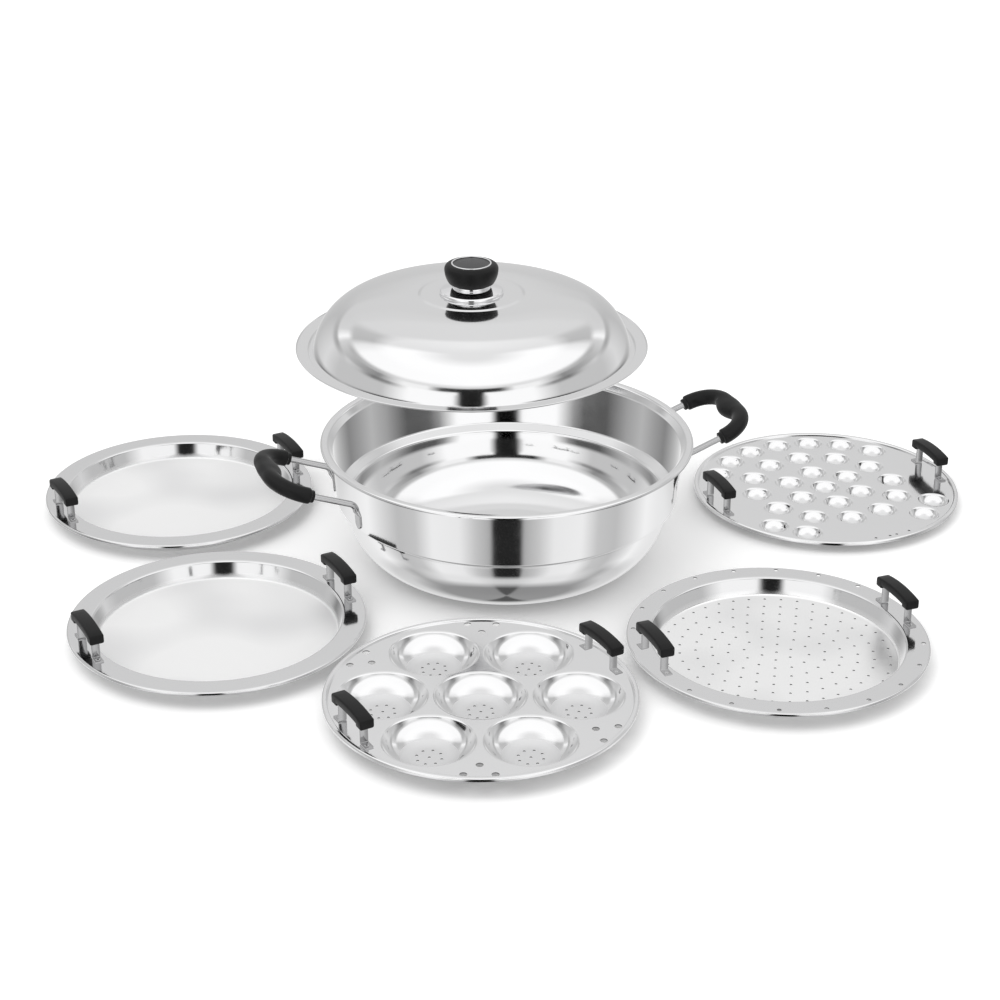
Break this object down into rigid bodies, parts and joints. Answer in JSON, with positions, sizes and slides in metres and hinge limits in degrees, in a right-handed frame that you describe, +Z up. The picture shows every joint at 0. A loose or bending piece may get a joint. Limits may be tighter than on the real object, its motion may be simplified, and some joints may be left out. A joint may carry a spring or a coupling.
{
  "type": "idli steamer set",
  "caption": "Steel idli steamer set: handled pot with a domed lid held raised, and loose cavity plates and trays with lift handles laid out round it.",
  "frame": {"origin": "centre of the pot's base, on the surface that the set stands on", "axes": "+Z up along the pot's axis, +Y to the back, where the lid is held, and +X to the right"},
  "size_m": [0.8658, 0.677, 0.2398],
  "materials": {
    "polished_steel": "mirror polished stainless steel sheet",
    "steel_fittings": "polished stainless steel rod and strip",
    "bright_chrome": "bright chrome plate",
    "black_plastic": "moulded heat resistant plastic, satin",
    "dark_cap": "smooth dark cap",
    "brass": "turned"
  },
  "bodies": {
    "pot": {"pot_body": "polished_steel", "right_handle_rod": "steel_fittings", "left_handle_rod": "steel_fittings", "right_grip": "black_plastic", "left_grip": "black_plastic"},
    "lid": {"lid_shell": "polished_steel", "knob_collar": "bright_chrome", "knob": "black_plastic", "knob_ring": "bright_chrome", "knob_disc": "dark_cap", "knob_insert": "brass", "knob_washer": "steel_fittings", "knob_screw": "steel_fittings"},
    "back_tray_body": {"back_tray": "polished_steel", "back_tray_right_bracket": "steel_fittings", "back_tray_right_grip": "black_plastic", "back_tray_left_bracket": "steel_fittings", "back_tray_left_grip": "black_plastic", "back_tray_rivets": "steel_fittings"},
    "front_tray_body": {"front_tray": "polished_steel", "front_tray_right_bracket": "steel_fittings", "front_tray_right_grip": "black_plastic", "front_tray_left_bracket": "steel_fittings", "front_tray_left_grip": "black_plastic", "front_tray_rivets": "steel_fittings"},
    "idli_plate_body": {"idli_plate": "polished_steel", "idli_plate_right_bracket": "steel_fittings", "idli_plate_right_grip": "black_plastic", "idli_plate_left_bracket": "steel_fittings", "idli_plate_left_grip": "black_plastic", "idli_plate_rivets": "steel_fittings"},
    "steam_tray_body": {"steam_tray": "polished_steel", "steam_tray_right_bracket": "steel_fittings", "steam_tray_right_grip": "black_plastic", "steam_tray_left_bracket": "steel_fittings", "steam_tray_left_grip": "black_plastic", "steam_tray_rivets": "steel_fittings"},
    "mini_idli_plate_body": {"mini_idli_plate": "polished_steel", "mini_idli_plate_right_bracket": "steel_fittings", "mini_idli_plate_right_grip": "black_plastic", "mini_idli_plate_left_bracket": "steel_fittings", "mini_idli_plate_left_grip": "black_plastic", "mini_idli_plate_rivets": "steel_fittings"}
  },
  "joints": [
    {"name": "lid_lift", "type": "slide", "parent": "pot", "child": "lid", "axis": [-0.2637, 0.8904, 0.3711], "range_m": [-0.1212, 0.06]},
    {"name": "back_tray_lift", "type": "slide", "parent": "pot", "child": "back_tray_body", "axis": [-0.6698, 0.2267, 0.7071], "range_m": [0, 0.15]},
    {"name": "front_tray_lift", "type": "slide", "parent": "pot", "child": "front_tray_body", "axis": [-0.5977, -0.3778, 0.7071], "range_m": [0, 0.15]},
    {"name": "idli_plate_lift", "type": "slide", "parent": "pot", "child": "idli_plate_body", "axis": [-0.053, -0.7051, 0.7071], "range_m": [0, 0.15]},
    {"name": "steam_tray_lift", "type": "slide", "parent": "pot", "child": "steam_tray_body", "axis": [0.5433, -0.4526, 0.7071], "range_m": [0, 0.15]},
    {"name": "mini_idli_plate_lift", "type": "slide", "parent": "pot", "child": "mini_idli_plate_body", "axis": [0.6574, 0.2603, 0.7071], "range_m": [0, 0.15]}
  ]
}
